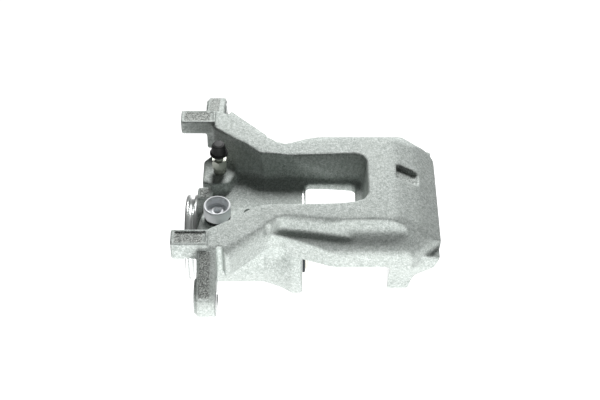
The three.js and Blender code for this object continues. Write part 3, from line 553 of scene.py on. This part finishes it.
def hose_plug():
    """The white port plug: a ribbed cup with a stepped floor round a hollow stem."""
    low, top = PLUG[0][2], PLUG[1][2]
    wide = (PLUG[1][0] - PLUG[0][0]) / 2
    x, y = centre_xy(PLUG)
    base = top - 7.9
    profile = [
        (low, 2.0), (low, 4.2), (low + 1, 4.8), (base + 0.4, 4.8), (base + 0.4, 5.4), (base, 5.6),
        (base, wide - 0.5), (base + 0.6, wide - 0.1), (top - 2.2, wide - 0.1), (top - 0.5, wide - 0.1),
        (top, wide - 0.5), (top, wide - 1.05), (top - 0.5, wide - 1.6), (base + 4.4, wide - 1.9),
        (base + 3.4, wide - 2.3), (base + 3.4, wide - 3.2), (base + 3.0, wide - 3.5), (base + 3.0, 3.7),
        (base + 3.7, 3.4), (base + 3.7, 2.5), (base + 3.2, 2.0),
    ]

    def ribs(at, radius, angle):
        if radius < wide - 0.6 or at > base + 2.6:
            return 0.0
        return -0.22 * (0.5 - 0.5 * math.cos(8 * angle)) ** 0.35

    return lathe("hose_plug", eased(profile, 0.25), (x, y, 0), "z", PLASTIC, 96, ribs)


def hose_seal():
    """The black ring under the plug, with two soft lips."""
    low, high = SEAL[0][2], SEAL[1][2]
    wide = (SEAL[1][0] - SEAL[0][0]) / 2
    x, y = centre_xy(SEAL)
    middle = (low + high) / 2
    profile = [
        (low, 5.6), (low, wide - 0.5), (low + 0.45, wide), (middle, wide - 0.35), (high - 0.45, wide),
        (high, wide - 0.5), (high, 5.6),
    ]
    return lathe("hose_seal", eased(profile, 0.3), (x, y, 0), "z", RUBBER)


def boot():
    """The dust boot: a foot in the barrel, packed folds and a lip in the piston's groove."""
    r, foot, lip = PISTON_R, MOUTH_X - 4.7, MOUTH_X - 1.8
    folds = [
        (MOUTH_X - 3.3 + 0.175 * k, r + (1.75 if k % 2 == 0 else 1.2)) for k in range(9)
    ]
    front = [
        (MOUTH_X - 0.6, r + 1.7), (MOUTH_X - 0.1, r + 1.45), (MOUTH_X + 0.4, r + 1.7),
        (MOUTH_X + 1.0, r + 1.7), (MOUTH_X + 1.5, r + 1.3), (MOUTH_X + 1.65, r + 0.5),
    ]
    inside = [
        (MOUTH_X + 0.5, r), (MOUTH_X + 0.5, r - 1.3), (lip, r - 1.3), (lip, r - 0.3), (lip + 0.6, r + 0.55),
    ]
    sleeve = [(MOUTH_X - 1.9 - 0.35 * k, r + (0.6 if k % 2 == 0 else 0.75)) for k in range(5)]
    root = [(foot, r + 0.6), (foot, r + 3.55), (foot + 1.2, r + 3.55), (foot + 1.2, r + 2.0)]
    obj = lathe("boot", folds + front + inside + sleeve + root, (0, 0, AXIS_Z), "x", BOOT, 96)
    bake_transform(obj)
    return obj


for make, node in ((bleed_cap, "bleeder_cap"), (hose_plug, "port_plug"), (hose_seal, "port_seal")):
    stands_for(make(), node)
stands_for(boot(), "dust_boot", moving=False)
shaped = {"caliper_housing", "bleeder_cap", "port_plug", "port_seal", "dust_boot"}
for node in sorted(set(SLOT_OF) - shaped):
    stands_for(dressed(node, 0.12 if "roller" in node or "o_ring" in node else 0.22), node)
for node in NODES:
    NODES[node].data.materials.clear()
    NODES[node].data.materials.append(BY_SLOT[SLOT_OF[node]])

# ---------------------------------------------------------------- floor, light and camera


def floor():
    size, drop = 4.0, HOUSING[0][2] * MM - 0.5
    mesh = bpy.data.meshes.new("floor")
    corners = [(-size, -size, drop), (size, -size, drop), (size, size, drop), (-size, size, drop)]
    mesh.from_pydata(corners, [], [(0, 1, 2, 3)])
    n = Nodes("floor_paper")
    cloud = n.noise(60, 2, 0.5)
    paper = n.mix(n.scale_range(cloud, 0, 1), (0.93, 0.93, 0.93), (0.96, 0.96, 0.96))
    mesh.materials.append(n.finish(paper, 0.9, Emission_Color=(1, 1, 1, 1), Emission_Strength=0.5))
    obj = bpy.data.objects.new("floor", mesh)
    bpy.context.scene.collection.objects.link(obj)


def area_light(name, place, target, size, power, colour=(1, 1, 1)):
    data = bpy.data.lights.new(name, "AREA")
    data.shape, data.size, data.energy, data.color = "DISK", size, power, colour
    obj = bpy.data.objects.new(name, data)
    obj.location = place
    obj.rotation_euler = (Vector(target) - Vector(place)).to_track_quat("-Z", "Y").to_euler()
    bpy.context.scene.collection.objects.link(obj)


def world():
    made = bpy.data.worlds.new("studio")
    made.use_nodes = True
    back = made.node_tree.nodes["Background"]
    back.inputs["Color"].default_value = (1, 1, 1, 1)
    back.inputs["Strength"].default_value = 0.035
    bpy.context.scene.world = made


floor()
world()
area_light("back_key", (0.16, 0.92, 0.72), (0.04, 0, 0), 0.5, 18)
area_light("low_front", (0.12, -1.0, -0.08), (0.04, 0, -0.02), 0.3, 11)

camera = bpy.data.cameras.new("camera")
camera.lens, camera.sensor_width = 84.0, 36.0
camera.clip_start, camera.clip_end = 0.05, 20
eye = bpy.data.objects.new("camera", camera)
eye.location = (0.04485, -0.5742, 0.57459)
look_at = Vector((0.04485, 0, 0.00039))
eye.rotation_euler = (look_at - Vector(eye.location)).to_track_quat("-Z", "Y").to_euler()
bpy.context.scene.collection.objects.link(eye)
bpy.context.scene.camera = eye
bpy.context.scene.view_settings.view_transform = "Standard"
